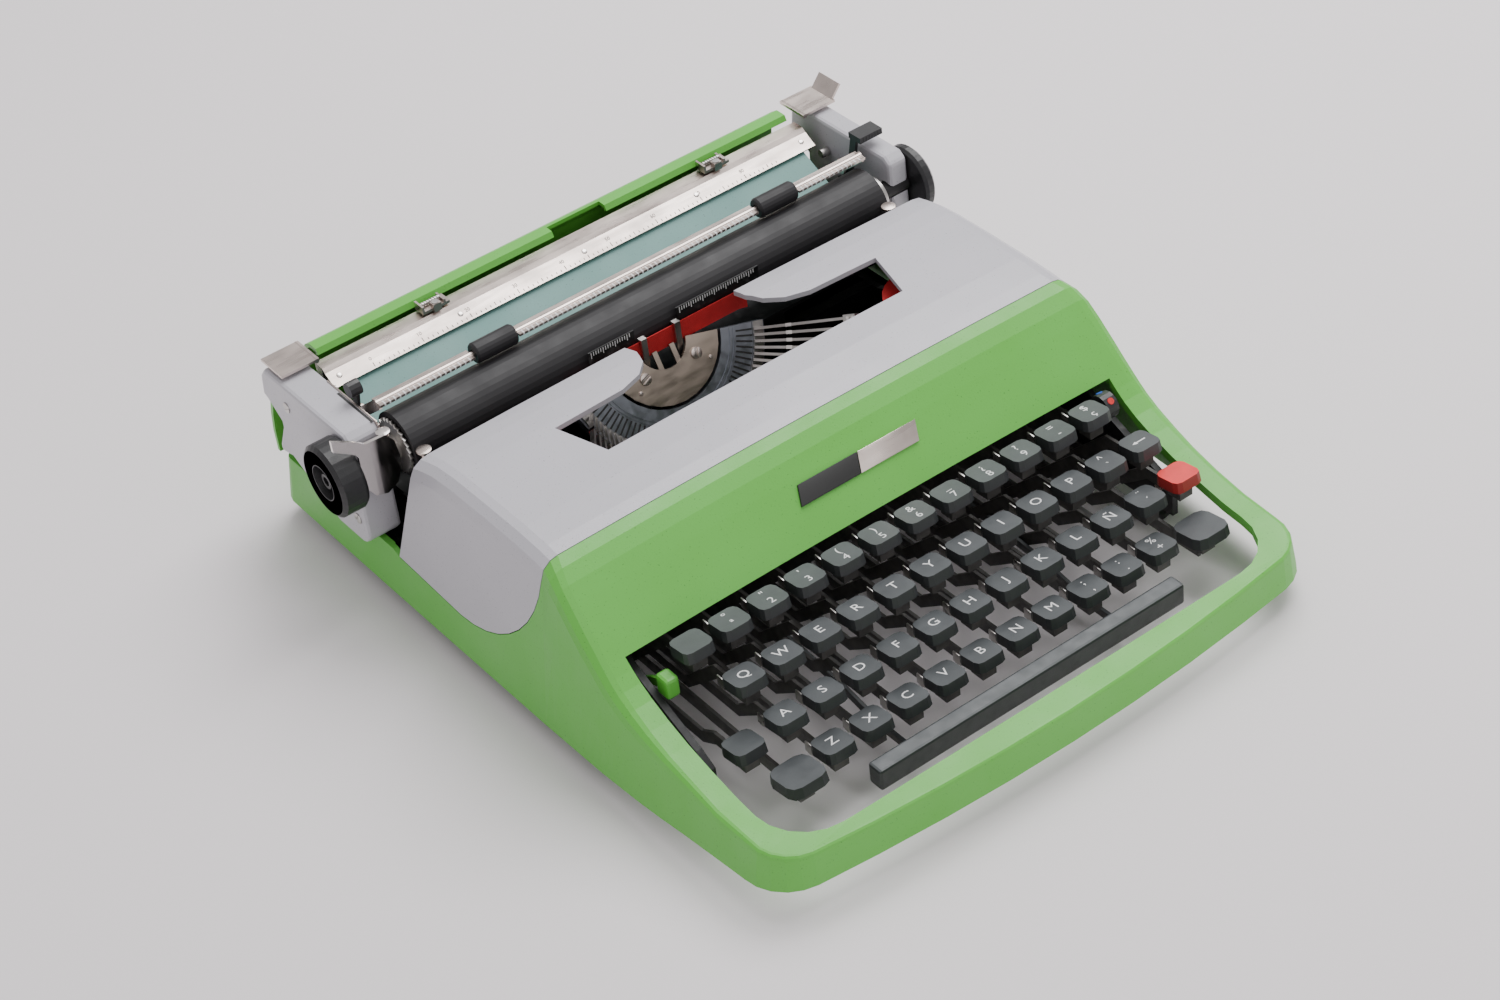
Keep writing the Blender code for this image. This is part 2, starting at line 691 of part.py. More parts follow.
def make_return_lever(carriage):
    points = [(-163.5, 100.5), (-154, 95.2), (-148.6, 91.2), (-139, 90.8), (-135.4, 86), (-134.2, 78), (-134.6, 71.5),
              (-137.6, 65), (-143, 62.2), (-148.6, 63.8), (-151.6, 68.4), (-152.8, 76), (-152.9, 86.4),
              (-154, 88.4), (-158, 91.4), (-163.5, 95)]
    turn = Matrix(((1, 0, 0, 0), (0, 0, -1, 92.4 * MM), (0, 1, 0, 0), (0, 0, 0, 1)))
    blade = outline(points, 1.6 * MM, turn)
    hub = rod((-138, 95.4, 66), (-138, 95.4, 89), 2.2, 12)
    tab = box((-139.4, 92, 70), (-136.6, 96, 85))
    part("return_lever", fuse(blade, hub, tab), CHROME, pivot=Vector((-138, 95.4, 78)) * MM, parent=carriage)


def make_line_selector(carriage):
    arm = side_plate(strip([(121, 96), (124, 84), (128, 66)], 4), -134.9, -133.5)
    pieces = [rod((-134.9, 128, 66), (-133.5, 128, 66), 5, 16), rod((-138, 121, 97.4), (-132.4, 121, 97.4), 3.6, 12)]
    part("line_space_selector", fuse(arm, *pieces), BLACK_PLASTIC, pivot=Vector((-134.2, 128, 66)) * MM, parent=carriage)


def make_paper_release(carriage):
    arm = side_plate(strip([(119, 97), (122, 84), (130, 66)], 4), 134.2, 135.8)
    tip = box((134, 113.5, 96), (147, 122, 99))
    hub = rod((134.2, 130, 66), (135.8, 130, 66), 5, 16)
    part("paper_release_lever", fuse(arm, tip, hub), BLACK_STEEL, pivot=Vector((135, 130, 66)) * MM,
         parent=carriage)


def make_carriage_release(name, sign, carriage):
    low = min(sign * 132.6, sign * 151.5)
    high = max(sign * 132.6, sign * 151.5)
    plate = box((low, 154.5, 93), (high, 172.5, 94.2))
    pivot_rod = rod((sign * 133.8, 154.5, 93.2), (sign * 133.8, 172.5, 93.2), 1.2, 10)
    pieces = [pivot_rod]
    if sign > 0:
        turn = Matrix.Translation(Vector((150.8, 163.5, 93.6)) * MM) @ Matrix.Rotation(radians(-50), 4, "Y")
        wing = box((-1, -7.5, -0.6), (8.5, 7.5, 0.6))
        wing.data.transform(turn)
        pieces.append(wing)
    part(name, fuse(plate, *pieces), STEEL, pivot=Vector((sign * 133.8, 163.5, 93.2)) * MM, parent=carriage)


# ---------------------------------------------------------------- keyboard

def key_cap(x, top_y, top_z, half_x, half_y, corner):
    """A key cap with round corners and a stem, whose top leans back a little."""
    outline_points = round_box(half_x, half_y, corner)
    cap = outline(outline_points, 5 * MM, Matrix.Identity(4))
    for vertex in cap.data.vertices:
        if vertex.co.z < 0:
            vertex.co.x *= 1.05
            vertex.co.y *= 1.05
    tilt = Matrix.Rotation(-KEY_TILT, 4, "X")
    cap.data.transform(Matrix.Translation(Vector((x, top_y, top_z - 2.5)) * MM) @ tilt)
    stem = box((x - 3.6, top_y - 4.4, top_z - 11), (x + 3.6, top_y + 3, top_z - 3))
    return [cap, stem]


def lever(x, top_y, top_z, reach=46):
    """A key lever: level under its key, then down to the common plane and back to the fulcrum."""
    drop = top_z - 10.5
    common = FULCRUM.z / MM
    points = [(top_y - 2, drop), (top_y + 20, drop - 0.6)]
    if drop > common + 2:
        points.append((top_y + 24 + (drop - common) * 0.9, common))
    points.append((reach, common))
    half = LEVER_THICK / MM / 2
    return side_plate(strip(points, LEVER_TALL / MM), x - half, x + half)


def key_pieces(x, place, size=KEY_SIZE / MM, corner=3, lever_x=None):
    top_y, top_z = place.y / MM, place.z / MM
    caps = key_cap(x, top_y, top_z, size / 2, size / 2, corner)
    return caps + [lever(x if lever_x is None else lever_x, top_y, top_z)]


def make_key(name, x, place, surface=KEY_GREY, **sizes):
    pieces = key_pieces(x, place, **sizes)
    part(name, fuse(pieces[0], *pieces[1:]), surface, pivot=(x * MM, FULCRUM.y, FULCRUM.z))


def make_bank(name, row, count, bar_y):
    """A row of keys whose levers share a cross bar above all the levers."""
    pieces = []
    first = row.x / MM
    pitch = PITCH / MM
    for index in range(count):
        x = first + index * pitch
        pieces += key_pieces(x, row)
        pieces.append(box((x - 0.7, bar_y + 0.3, 19), (x + 0.7, bar_y + 1.7, 26)))
    bar = box((first - 1.5, bar_y, 25.4), (first + (count - 1) * pitch + 1.5, bar_y + 2, 27.2))
    part(name, fuse(bar, *pieces), KEY_GREY, pivot=(0, FULCRUM.y, FULCRUM.z))


def make_space_bar():
    cap = bevel(box((-74.5, -148, 11.5), (87, -140, 22)), 1.2, 2)
    pieces = []
    half = LEVER_THICK / MM / 2
    for x in SPACE_LEVERS:
        points = [(-146, 13.6), (-136, 10.4), (-116, 10.4), (-94, 15), (-60, 18), (46, 18)]
        pieces.append(side_plate(strip(points, 4), x - half, x + half))
    pieces.append(box((SPACE_LEVERS[0] - 1, -1, 25.4), (SPACE_LEVERS[1] + 1, 1, 27.2)))
    pieces += [box((x - 0.7, -0.7, 19), (x + 0.7, 0.7, 26)) for x in SPACE_LEVERS]
    part("space_bar", fuse(cap, *pieces), KEY_GREY, pivot=(0, FULCRUM.y, FULCRUM.z))


def make_colour_selector():
    lever_plate = side_plate(strip([(-67, 53), (-58, 48), (-44, 34)], 4), 117, 118.4)
    knob = rod((115, -67, 53), (121, -67, 53), 6, 16)
    hub = rod((117, -44, 34), (118.4, -44, 34), 4.5, 12)
    part("colour_selector", fuse(lever_plate, knob, hub), BLACK_PLASTIC, pivot=Vector((117.7, -44, 34)) * MM)


def make_tab_set_lever():
    arm = side_plate(strip([(-70, 44), (-60, 40), (-46, 30)], 4), -118.4, -117)
    grip = bevel(box((-121, -75, 40), (-114.4, -67, 50)), 1.5, 2)
    hub = rod((-118.4, -46, 30), (-117, -46, 30), 4.5, 12)
    part("tab_set_lever", fuse(grip, arm, hub), GREEN, pivot=Vector((-117.7, -46, 30)) * MM)


def main():
    make_base()
    for name, x, y, height in (("foot_front_left", -127, -84, 11.7), ("foot_front_right", 127, -84, 11.7),
                               ("foot_rear_left", -123, 150, 10.1), ("foot_rear_right", 123, 150, 10.1)):
        make_foot(name, x, y, height)
    make_chassis()

    basket = joint_empty("basket_shift", STRIKE)
    make_basket(basket)
    make_spool("ribbon_spool_left", -1)
    make_spool("ribbon_spool_right", 1)
    make_ribbon()
    make_vibrator()
    make_card_guide()
    make_colour_selector()
    make_tab_set_lever()

    carriage = joint_empty("carriage_slide", PLATEN)
    make_carriage_frame(carriage)
    make_end_plate("left_end_plate", -153, -136.2, carriage)
    make_end_plate("right_end_plate", 139, 149.5, carriage)
    make_rear_cover(carriage)
    make_paper_table(carriage)
    make_margin_rule(carriage)
    make_margin_stop("margin_stop_left", -72.5, carriage)
    make_margin_stop("margin_stop_right", 82, carriage)
    make_platen(carriage)
    make_knob("left_knob", LEFT_KNOB, carriage)
    make_knob("right_knob", RIGHT_KNOB, carriage)
    make_paper_bail(carriage)
    make_bail_roller("bail_roller_left", -71.5, carriage)
    make_bail_roller("bail_roller_right", 81.5, carriage)
    make_return_lever(carriage)
    make_line_selector(carriage)
    make_paper_release(carriage)
    make_carriage_release("carriage_release_left", -1, carriage)
    make_carriage_release("carriage_release_right", 1, carriage)

    make_bank("number_row", ROW_1 + Vector((PITCH, 0, 0)), 11, -16)
    make_bank("upper_letter_row", ROW_2, 11, -11)
    make_bank("lower_letter_row", ROW_4, 10, -6)
    home = ("a", "s", "d", "f", "g", "h", "j", "k", "l", "ene", "accent")
    for index, letter in enumerate(home):
        make_key("key_" + letter, ROW_3.x / MM + index * PITCH / MM, ROW_3)
    make_key("margin_release_key", ROW_1.x / MM, ROW_1)
    make_key("backspace_key", ROW_2.x / MM + 11 * PITCH / MM, ROW_2)
    make_key("tab_key", ROW_3.x / MM + 11 * PITCH / MM, ROW_3 + Vector((0, 0, 2)) * MM, surface=RED)
    make_key("shift_lock_key", -110, Vector((-110, -108.5, 34)) * MM)
    make_key("left_shift_key", -101, Vector((-101, -131, 28)) * MM, size=18.5, corner=4.5, lever_x=-100)
    make_key("right_shift_key", 112.5, Vector((112.5, -131, 28)) * MM, size=18.5, corner=4.5, lever_x=109.5)
    make_space_bar()
    for made in bpy.data.objects:
        if made.parent is None:
            made.location += TO_MIDDLE


main()
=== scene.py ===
"""Looks for the portable manual typewriter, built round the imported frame.

Numbers in the pieces are millimetres about the keyboard's middle plane: +X right, +Y back, +Z up. Each piece
is then moved by TO_MIDDLE, as the machine is.
"""

import math

import bmesh
import bpy
from mathutils import Matrix, Vector


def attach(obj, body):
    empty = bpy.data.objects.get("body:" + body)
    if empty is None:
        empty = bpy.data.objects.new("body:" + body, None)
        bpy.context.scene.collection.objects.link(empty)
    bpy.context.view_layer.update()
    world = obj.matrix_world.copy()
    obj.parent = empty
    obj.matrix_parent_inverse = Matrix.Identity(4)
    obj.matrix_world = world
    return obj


MM = 0.001
TO_MIDDLE = Vector((0.0046, -0.0052, 0))

# Keyboard: the first key of each row, from the back, as x, y and the height of its cap's top
PITCH = 19.05
ROW_1 = (-104.8, -72, 60)
ROW_2 = (-95.3, -92.4, 49.9)
ROW_3 = (-90.5, -110.8, 39)
ROW_4 = (-81.0, -127.6, 28.9)
SHIFT_TOP = 28
LOCK_TOP = 34
TAB_TOP = 41
SPACE_TOP = 22
CAP_SKIRT = 7.4
SPACE_SKIRT = 10.5
CAP_EDGE = 0.55
KEY_TILT = math.radians(8)
LARGE_LEGEND = 6.9
SMALL_LEGEND = 5.8
COLOUR_LEVER_HEAD = Vector((118, -67, 53))

# Nameplate, on the slope of the hood
NAMEPLATE = Vector((3, -45, 74.05))
NAMEPLATE_SLOPE = (0, 0.698, 0.716)
NAMEPLATE_HALF = (31, 4.4)
NAMEPLATE_RAKE = 1.6

# Type basket: the ring of pivots round the printing point
STRIKE = Vector((-4.5, 81.5, 74))
RING_DOWN = Vector((0, -0.5, -0.8660254))
RING_FACE = Vector((0, -0.8660254, 0.5))
BAR_LENGTH = 48
BAR_SWING = math.radians(122)
BAR_COUNT = 43
FAN_HALF = math.radians(72)
SEGMENT_FACE = -3.05

# Carriage
PLATEN_Y = 103.5
PLATEN_Z = 73.5
BAIL_Y = 110.5
BAIL_Z = 92.8
SPACE_STEP = 2.54
HALF_STEP = 1.27
RULE_ORIGIN = (0, 149.845, 83.93)
RULE_SLOPE = (0, 0.858, 0.514)
LEFT_END = -152.95
RIGHT_END = 149.45
KNOB_FACE_X = -166

# Camera
LENS = 75.55
CAMERA_AZIMUTH = math.radians(-32.642)
CAMERA_ELEVATION = math.radians(38.782)
CAMERA_ROLL = math.radians(-7.45)
CAMERA_PLACE = Vector((-0.5819, -0.8726, 0.8755))

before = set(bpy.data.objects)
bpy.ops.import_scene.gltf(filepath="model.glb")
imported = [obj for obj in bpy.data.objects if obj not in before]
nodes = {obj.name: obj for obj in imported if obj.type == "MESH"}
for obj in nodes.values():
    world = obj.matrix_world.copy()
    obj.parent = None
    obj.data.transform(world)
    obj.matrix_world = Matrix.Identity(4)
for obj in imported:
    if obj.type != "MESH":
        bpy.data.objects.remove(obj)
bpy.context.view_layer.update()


# ---------------------------------------------------------------- materials

class Look:
    """A Principled material whose colour, roughness and relief come from noise on object coordinates."""

    def __init__(self, name, roughness, metallic=0.0, coat=0.0):
        self.material = bpy.data.materials.new(name)
        self.material.use_nodes = True
        self.tree = self.material.node_tree
        self.shader = self.tree.nodes["Principled BSDF"]
        self.shader.inputs["Roughness"].default_value = roughness
        self.shader.inputs["Metallic"].default_value = metallic
        self.shader.inputs["Coat Weight"].default_value = coat
        self.shader.inputs["Coat Roughness"].default_value = 0.12
        self.where = self.tree.nodes.new("ShaderNodeTexCoord").outputs["Object"]

    def node(self, kind, **settings):
        made = self.tree.nodes.new(kind)
        for key, value in settings.items():
            setattr(made, key, value)
        return made

    def link(self, source, target):
        self.tree.links.new(source, target)

    def stretched(self, scale):
        """The object's coordinates scaled by three numbers, for grain with a direction."""
        moved = self.node("ShaderNodeMapping")
        moved.inputs["Scale"].default_value = scale
        self.link(self.where, moved.inputs["Vector"])
        return moved.outputs["Vector"]

    def noise(self, scale, detail=3.0, where=None):
        made = self.node("ShaderNodeTexNoise")
        made.inputs["Scale"].default_value = scale
        made.inputs["Detail"].default_value = detail
        self.link(where or self.where, made.inputs["Vector"])
        return made.outputs["Fac"]

    def ranged(self, value, low, high, start=0.3, end=0.7):
        made = self.node("ShaderNodeMapRange")
        made.inputs["From Min"].default_value = start
        made.inputs["From Max"].default_value = end
        made.inputs["To Min"].default_value = low
        made.inputs["To Max"].default_value = high
        self.link(value, made.inputs["Value"])
        return made.outputs["Result"]

    def mixed(self, share, first, second):
        made = self.node("ShaderNodeMix", data_type="RGBA")
        self.link(share, made.inputs["Factor"])
        for slot, colour in ((6, first), (7, second)):
            if isinstance(colour, tuple):
                made.inputs[slot].default_value = (*colour, 1)
            else:
                self.link(colour, made.inputs[slot])
        return made.outputs[2]

    def colour(self, source):
        self.link(source, self.shader.inputs["Base Color"])

    def roughness(self, source):
        self.link(source, self.shader.inputs["Roughness"])

    def relief(self, height, strength, depth):
        made = self.node("ShaderNodeBump")
        made.inputs["Strength"].default_value = strength
        made.inputs["Distance"].default_value = depth
        self.link(height, made.inputs["Height"])
        self.link(made.outputs["Normal"], self.shader.inputs["Normal"])


def enamel(name, colour, shade, roughness, coat=0.25, grain=900):
    """Sprayed enamel: faint mottling, fine orange peel, a few rubbed patches and small specks."""
    look = Look(name, roughness, coat=coat)
    cloud = look.ranged(look.noise(14, 4), 0, 1)
    body = look.mixed(cloud, colour, shade)
    speck = look.ranged(look.noise(1500, 1), 0, 1, 0.70, 0.76)
    look.colour(look.mixed(speck, body, tuple(0.55 * part for part in colour)))
    rubbed = look.noise(45, 5)
    look.roughness(look.ranged(rubbed, roughness - 0.06, roughness + 0.09))
    look.relief(look.noise(grain, 2), 0.22, 0.0002)
    return look.material


def moulded(name, colour, roughness, grain=1400, strength=0.25):
    """Moulded plastic with a fine matt grain and handling marks."""
    look = Look(name, roughness)
    worn = look.ranged(look.noise(70, 5), 0, 1)
    look.colour(look.mixed(worn, colour, tuple(1.25 * part + 0.004 for part in colour)))
    look.roughness(look.ranged(look.noise(160, 4), roughness - 0.08, roughness + 0.1))
    look.relief(look.noise(grain, 2), strength, 0.0002)
    return look.material


def metal(name, colour, roughness, along=(1, 1, 1), strength=0.15, stain=0.75):
    """Plated or plain metal, brushed across the given stretch, with duller stains."""
    look = Look(name, roughness, metallic=1.0)
    grain = look.noise(300, 3, look.stretched(along))
    tone = look.ranged(look.noise(60, 5), 0, 1, 0.45, 0.75)
    look.colour(look.mixed(tone, colour, tuple(stain * part for part in colour)))
    look.roughness(look.ranged(grain, roughness - 0.05, roughness + 0.14))
    look.relief(grain, strength, 0.0001)
    return look.material


def painted_steel(name, colour, roughness):
    """Dull black paint on sheet steel, rubbed paler in patches."""
    look = Look(name, roughness, metallic=0.3)
    worn = look.ranged(look.noise(120, 6), 0, 1, 0.6, 0.72)
    look.colour(look.mixed(worn, colour, tuple(part + 0.05 for part in colour)))
    look.roughness(look.ranged(look.noise(200, 3), roughness - 0.08, roughness + 0.12))
    look.relief(look.noise(700, 3), 0.2, 0.0002)
    return look.material


def rubber(name, colour, roughness, along=(0.2, 1, 1)):
    """Ground rubber: fine tool lines round it, dust and a slight glaze."""
    look = Look(name, roughness)
    dust = look.ranged(look.noise(35, 6), 0, 1, 0.5, 0.8)
    look.colour(look.mixed(dust, colour, tuple(part + 0.007 for part in colour)))
    look.roughness(look.ranged(look.noise(90, 4), roughness - 0.06, roughness + 0.06))
    look.relief(look.noise(1600, 3, look.stretched(along)), 0.1, 0.0001)
    return look.material


def cloth(name, colour):
    """Inked ribbon: a close plain weave with uneven ink."""
    look = Look(name, 0.75)
    warp = look.node("ShaderNodeTexWave", bands_direction="X")
    weft = look.node("ShaderNodeTexWave", bands_direction="Z")
    for wave in (warp, weft):
        wave.inputs["Scale"].default_value = 900
        look.link(look.where, wave.inputs["Vector"])
    weave = look.node("ShaderNodeMath", operation="MULTIPLY")
    look.link(warp.outputs["Fac"], weave.inputs[0])
    look.link(weft.outputs["Fac"], weave.inputs[1])
    ink = look.ranged(look.noise(80, 4), 0, 1)
    look.colour(look.mixed(ink, colour, tuple(0.7 * part for part in colour)))
    look.relief(weave.outputs["Value"], 0.5, 0.0002)
    return look.material


def key_look(name, cap, floor_z):
    """A key: grained plastic above the given height, its sides painted darker than its top as painted shade,
    and the dull steel of its lever below it.
    """
    look = Look(name, 0.42)
    split = look.node("ShaderNodeSeparateXYZ")
    look.link(look.where, split.inputs["Vector"])
    above = look.ranged(split.outputs["Z"], 0, 1, floor_z * MM - 0.0001, floor_z * MM + 0.0001)
    worn = look.ranged(look.noise(90, 5), 0, 1)
    # Painted shade: cap faces that turn away from straight up fall to 0.42 of the cap colour, so the sides
    # read darker than the top
    facing = look.node("ShaderNodeSeparateXYZ")
    look.link(look.node("ShaderNodeNewGeometry").outputs["Normal"], facing.inputs["Vector"])
    painted_facing_shade = look.ranged(facing.outputs["Z"], 0, 1, 0.55, 0.95)
    sides = tuple(0.42 * part for part in cap)
    plastic = look.mixed(painted_facing_shade, sides, look.mixed(worn, cap, tuple(1.22 * part + 0.004 for part in cap)))
    steel = look.mixed(look.ranged(look.noise(150, 4), 0, 1), (0.035, 0.034, 0.033), (0.075, 0.07, 0.066))
    look.colour(look.mixed(above, steel, plastic))
    look.roughness(look.ranged(look.noise(220, 3), 0.34, 0.52))
    look.relief(look.noise(1500, 2), 0.22, 0.0002)
    return look.material


def print_look(name, colour):
    """Printed or filled marks, a little worn, and dark strips of painted shade."""
    look = Look(name, 0.5)
    worn = look.ranged(look.noise(900, 3), 0, 1, 0.55, 0.8)
    look.colour(look.mixed(worn, colour, tuple(0.72 * part for part in colour)))
    look.relief(look.noise(1500, 2), 0.1, 0.0001)
    return look.material


GREEN = enamel("enamel_green", (0.105, 0.455, 0.048), (0.118, 0.490, 0.060), 0.44, coat=0.08)
GREY = enamel("enamel_grey", (0.520, 0.505, 0.550), (0.490, 0.480, 0.520), 0.42, grain=1100)
TEAL = enamel("enamel_teal", (0.125, 0.290, 0.262), (0.138, 0.305, 0.282), 0.5, coat=0.05)
NICKEL = metal("nickel_plate", (0.66, 0.575, 0.53), 0.27, (0.15, 1, 1))
CHROME = metal("chrome_plate", (0.84, 0.79, 0.76), 0.13, (1, 1, 0.2), strength=0.05, stain=0.9)
STEEL = metal("plain_steel", (0.56, 0.54, 0.52), 0.3, (1, 0.2, 0.2))
BRONZE = metal("bronze_sheet", (0.60, 0.50, 0.42), 0.32, (0.3, 1, 1))
CASTING = metal("segment_steel", (0.36, 0.38, 0.43), 0.36, (1, 1, 1), strength=0.3)
BLACK_STEEL = painted_steel("black_paint", (0.014, 0.014, 0.015), 0.45)
BLACK_PLASTIC = moulded("black_moulding", (0.012, 0.012, 0.0135), 0.4)
RUBBER = rubber("platen_rubber", (0.0115, 0.0105, 0.0125), 0.56)
FOOT_RUBBER = rubber("foot_rubber", (0.02, 0.02, 0.02), 0.7, (1, 1, 1))
RIBBON = cloth("ribbon_red", (0.66, 0.018, 0.022))
WHITE_PRINT = print_look("white_print", (0.82, 0.82, 0.82))
# Black: real print and the nameplate's dark half, and also the painted shade in the segment's and the
# selector's slots
BLACK_PRINT_AND_SHADE = print_look("black_print_and_painted_shade", (0.02, 0.02, 0.02))
RED_PRINT = print_look("red_print", (0.7, 0.02, 0.02))
BLUE_PRINT = print_look("blue_print", (0.03, 0.12, 0.55))
KNOB_FACE = moulded("knob_grey_face", (0.135, 0.125, 0.135), 0.4)
KEY_CAP = (0.060, 0.067, 0.071)
RED_CAP = (0.74, 0.035, 0.035)


# ---------------------------------------------------------------- helpers

def smooth_group(name, limit):
    """Geometry nodes that shade a mesh smooth but keep edges over an angle in degrees sharp."""
    group = bpy.data.node_groups.new(name, "GeometryNodeTree")
    group.interface.new_socket("Geometry", in_out="INPUT", socket_type="NodeSocketGeometry")
    group.interface.new_socket("Geometry", in_out="OUTPUT", socket_type="NodeSocketGeometry")
    start = group.nodes.new("NodeGroupInput")
    end = group.nodes.new("NodeGroupOutput")
    faces = group.nodes.new("GeometryNodeSetShadeSmooth")
    faces.domain = "FACE"
    edges = group.nodes.new("GeometryNodeSetShadeSmooth")
    edges.domain = "EDGE"
    edges.inputs["Shade Smooth"].default_value = False
    angle = group.nodes.new("GeometryNodeInputMeshEdgeAngle")
    over = group.nodes.new("FunctionNodeCompare")
    over.inputs["B"].default_value = math.radians(limit)
    group.links.new(start.outputs[0], faces.inputs["Geometry"])
    group.links.new(faces.outputs["Geometry"], edges.inputs["Geometry"])
    group.links.new(angle.outputs["Unsigned Angle"], over.inputs["A"])
    group.links.new(over.outputs["Result"], edges.inputs["Selection"])
    group.links.new(edges.outputs["Geometry"], end.inputs[0])
    return group


SMOOTH = smooth_group("smooth_pieces", 32)
SMOOTH_SHELL = smooth_group("smooth_shell", 44)


def soften(made, width=0.0, segments=2, angle=34, shading=SMOOTH):
    """Rounds an object's hard edges by a width in millimetres and shades it smooth, both as modifiers."""
    if width:
        step = made.modifiers.new("edges", "BEVEL")
        step.width = width * MM
        step.segments = segments
        step.limit_method = "ANGLE"
        step.angle_limit = math.radians(angle)
    step = made.modifiers.new("shading", "NODES")
    step.node_group = shading


def add_box(work, low, high, place=None):
    """A box between two corners."""
    low = Vector(low)
    high = Vector(high)
    made = bmesh.ops.create_cube(work, size=1)["verts"]
    bmesh.ops.scale(work, vec=high - low, verts=made)
    bmesh.ops.translate(work, vec=(low + high) / 2, verts=made)
    if place is not None:
        bmesh.ops.transform(work, matrix=place, verts=made)


def add_rod(work, start, end, radius, sides=16, tip=None, place=None):
    """A round rod between two points, which may taper to another radius at its end."""
    start = Vector(start)
    end = Vector(end)
    tip = radius if tip is None else tip
    made = bmesh.ops.create_cone(work, cap_ends=True, segments=sides, radius1=radius, radius2=tip,
                                 depth=(end - start).length)["verts"]
    turn = (end - start).to_track_quat("Z", "Y").to_matrix().to_4x4()
    bmesh.ops.transform(work, matrix=Matrix.Translation((start + end) / 2) @ turn, verts=made)
    if place is not None:
        bmesh.ops.transform(work, matrix=place, verts=made)


def add_ring(work, inner, outer, depth, place, sides=32):
    """A flat ring standing on place's XY plane, about place's Z axis."""
    turns = [2 * math.pi * i / sides for i in range(sides)]
    rings = []
    for radius, height in ((inner, 0), (outer, 0), (outer, depth), (inner, depth)):
        points = [Vector((radius * math.cos(turn), radius * math.sin(turn), height)) for turn in turns]
        rings.append([work.verts.new(place @ point) for point in points])
    for first, second in zip(rings, rings[1:] + rings[:1]):
        for i in range(sides):
            work.faces.new((first[i], first[(i + 1) % sides], second[(i + 1) % sides], second[i]))


def add_prism(work, outline, bottom, top, place):
    """A straight-sided block over a flat outline, between two heights along place's Z axis."""
    low = [work.verts.new(place @ Vector((x, y, bottom))) for x, y in outline]
    high = [work.verts.new(place @ Vector((x, y, top))) for x, y in outline]
    work.faces.new(low)
    work.faces.new(high)
    for i in range(len(outline)):
        j = (i + 1) % len(outline)
        work.faces.new((low[i], low[j], high[j], high[i]))


def add_screw(work, place, radius, height):
    """A slotted cheese-head screw standing on place's XY plane, made as two half discs and a deeper web."""
    start = math.asin(0.22)
    angles = [start + (math.pi - 2 * start) * i / 8 for i in range(9)]
    for side in (-1, 1):
        outline = [(radius * math.cos(angle), side * radius * math.sin(angle)) for angle in angles]
        add_prism(work, outline, 0, height, place)
    add_rod(work, (0, 0, 0), (0, 0, height * 0.45), radius * 0.97, 18, place=place)


def piece(name, work, body, surface, width=0.0):
    """Turns gathered mesh, in millimetres, into an object that rides on a body."""
    bmesh.ops.recalc_face_normals(work, faces=work.faces)
    bmesh.ops.scale(work, vec=(MM, MM, MM), verts=work.verts)
    bmesh.ops.translate(work, vec=TO_MIDDLE, verts=work.verts)
    mesh = bpy.data.meshes.new(name)
    work.to_mesh(mesh)
    work.free()
    mesh.materials.append(surface)
    made = bpy.data.objects.new(name, mesh)
    bpy.context.scene.collection.objects.link(made)
    soften(made, width)
    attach(made, body)


def axes(origin, x_axis, y_axis):
    """A placing matrix from an origin and two axes."""
    x_axis = Vector(x_axis).normalized()
    z_axis = x_axis.cross(Vector(y_axis)).normalized()
    y_axis = z_axis.cross(x_axis)
    place = Matrix.Identity(4)
    for index, axis in enumerate((x_axis, y_axis, z_axis)):
        place.col[index][:3] = axis
    place.col[3][:3] = origin
    return place


def add_text(work, text, size, place):
    """Text laid on place's XY plane about its origin, in millimetres."""
    curve = bpy.data.curves.new("legend", "FONT")
    curve.body = text
    curve.size = size
    curve.extrude = 0.04
    curve.resolution_u = 3
    curve.align_x = "CENTER"
    curve.align_y = "CENTER"
    guide = bpy.data.objects.new("legend", curve)
    bpy.context.scene.collection.objects.link(guide)
    bpy.context.view_layer.update()
    mesh = bpy.data.meshes.new_from_object(guide.evaluated_get(bpy.context.evaluated_depsgraph_get()))
    mesh.transform(place)
    work.from_mesh(mesh)
    bpy.data.objects.remove(guide)
    bpy.data.meshes.remove(mesh)


